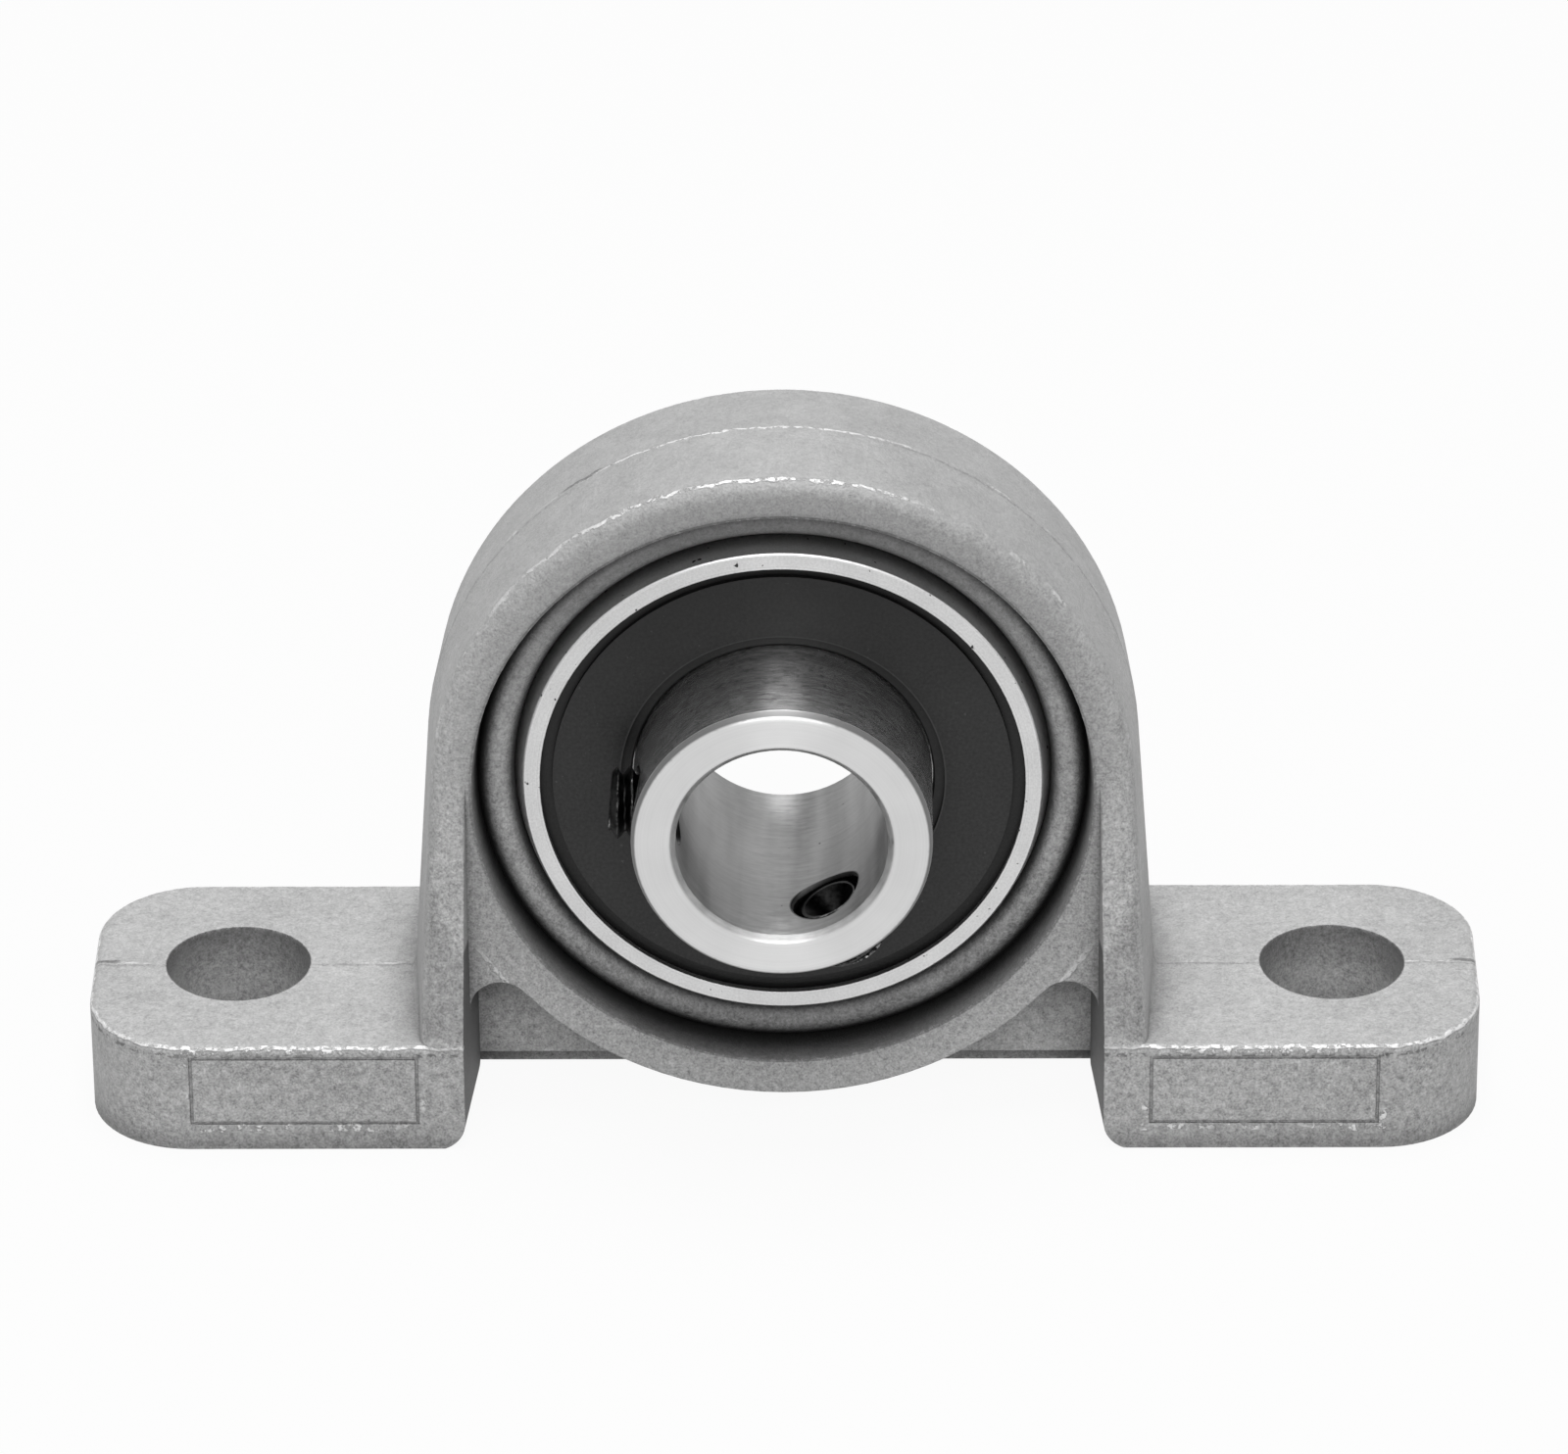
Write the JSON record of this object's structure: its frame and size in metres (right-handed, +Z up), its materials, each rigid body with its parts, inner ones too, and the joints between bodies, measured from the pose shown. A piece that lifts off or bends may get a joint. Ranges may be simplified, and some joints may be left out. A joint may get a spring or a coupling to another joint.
{
  "type": "pillow block bearing",
  "caption": "Small die-cast pillow block with two bolt feet and a self-aligning ball bearing insert whose locking collar is clamped to a shaft by set screws.",
  "frame": {"origin": "on the mounting face, half way between the bolt holes and straight under the middle of the bore", "axes": "+X along the feet, -Y out of the bore on the side of the locking collar, +Z up from the mounting face"},
  "size_m": [0.067, 0.0178, 0.035],
  "materials": {
    "zinc_casting": "matt, fine cast grain",
    "ring_steel": "ground, satin",
    "collar_steel": "ground and polished",
    "ball_steel": "polished",
    "seal_rubber": "satin",
    "sheet_steel": "rolled sheet",
    "black_screw": "black oxide, oiled"
  },
  "bodies": {
    "housing": {"housing": "zinc_casting"},
    "insert": {"outer_ring": "ring_steel", "front_seal": "seal_rubber", "front_seal_plate": "sheet_steel", "rear_seal": "seal_rubber", "rear_seal_plate": "sheet_steel"},
    "inner_ring": {"inner_ring": "collar_steel"},
    "cage": {"cage_front": "sheet_steel", "cage_rear": "sheet_steel", "cage_rivets": "sheet_steel"},
    "ball_1": {"ball_1": "ball_steel"},
    "ball_2": {"ball_2": "ball_steel"},
    "ball_3": {"ball_3": "ball_steel"},
    "ball_4": {"ball_4": "ball_steel"},
    "ball_5": {"ball_5": "ball_steel"},
    "ball_6": {"ball_6": "ball_steel"},
    "ball_7": {"ball_7": "ball_steel"},
    "set_screw_1": {"set_screw_1": "black_screw"},
    "set_screw_2": {"set_screw_2": "black_screw"}
  },
  "joints": [
    {"name": "insert_align", "type": "hinge", "parent": "housing", "child": "insert", "pos_m": [0, 0, 0.018], "axis": [1, 0, 0], "range_deg": [-3, 3]},
    {"name": "ring_spin", "type": "hinge", "parent": "insert", "child": "inner_ring", "pos_m": [0, 0, 0.018], "axis": [0, 1, 0], "continuous": true},
    {"name": "cage_orbit", "type": "hinge", "parent": "insert", "child": "cage", "pos_m": [0, 0, 0.018], "axis": [0, 1, 0], "continuous": true},
    {"name": "ball_1_roll", "type": "hinge", "parent": "cage", "child": "ball_1", "pos_m": [0, 0, 0.027], "axis": [0, 1, 0], "continuous": true},
    {"name": "ball_2_roll", "type": "hinge", "parent": "cage", "child": "ball_2", "pos_m": [-0.00704, 0, 0.02361], "axis": [0, 1, 0], "continuous": true},
    {"name": "ball_3_roll", "type": "hinge", "parent": "cage", "child": "ball_3", "pos_m": [-0.00877, 0, 0.016], "axis": [0, 1, 0], "continuous": true},
    {"name": "ball_4_roll", "type": "hinge", "parent": "cage", "child": "ball_4", "pos_m": [-0.00391, 0, 0.00989], "axis": [0, 1, 0], "continuous": true},
    {"name": "ball_5_roll", "type": "hinge", "parent": "cage", "child": "ball_5", "pos_m": [0.00391, 0, 0.00989], "axis": [0, 1, 0], "continuous": true},
    {"name": "ball_6_roll", "type": "hinge", "parent": "cage", "child": "ball_6", "pos_m": [0.00877, 0, 0.016], "axis": [0, 1, 0], "continuous": true},
    {"name": "ball_7_roll", "type": "hinge", "parent": "cage", "child": "ball_7", "pos_m": [0.00704, 0, 0.02361], "axis": [0, 1, 0], "continuous": true},
    {"name": "set_screw_1_slide", "type": "slide", "parent": "inner_ring", "child": "set_screw_1", "axis": [-0.9962, 0, 0.0872], "range_m": [-0.00015, 0.0012]},
    {"name": "set_screw_2_slide", "type": "slide", "parent": "inner_ring", "child": "set_screw_2", "axis": [0.4226, 0, -0.9063], "range_m": [-0.00015, 0.0012]}
  ],
  "couplings": [
    {"joint": "cage_orbit", "follows": "ring_spin", "ratio": 0.36771},
    {"joint": "ball_1_roll", "follows": "ring_spin", "ratio": -1.7575},
    {"joint": "ball_2_roll", "follows": "ring_spin", "ratio": -1.7575},
    {"joint": "ball_3_roll", "follows": "ring_spin", "ratio": -1.7575},
    {"joint": "ball_4_roll", "follows": "ring_spin", "ratio": -1.7575},
    {"joint": "ball_5_roll", "follows": "ring_spin", "ratio": -1.7575},
    {"joint": "ball_6_roll", "follows": "ring_spin", "ratio": -1.7575},
    {"joint": "ball_7_roll", "follows": "ring_spin", "ratio": -1.7575}
  ]
}
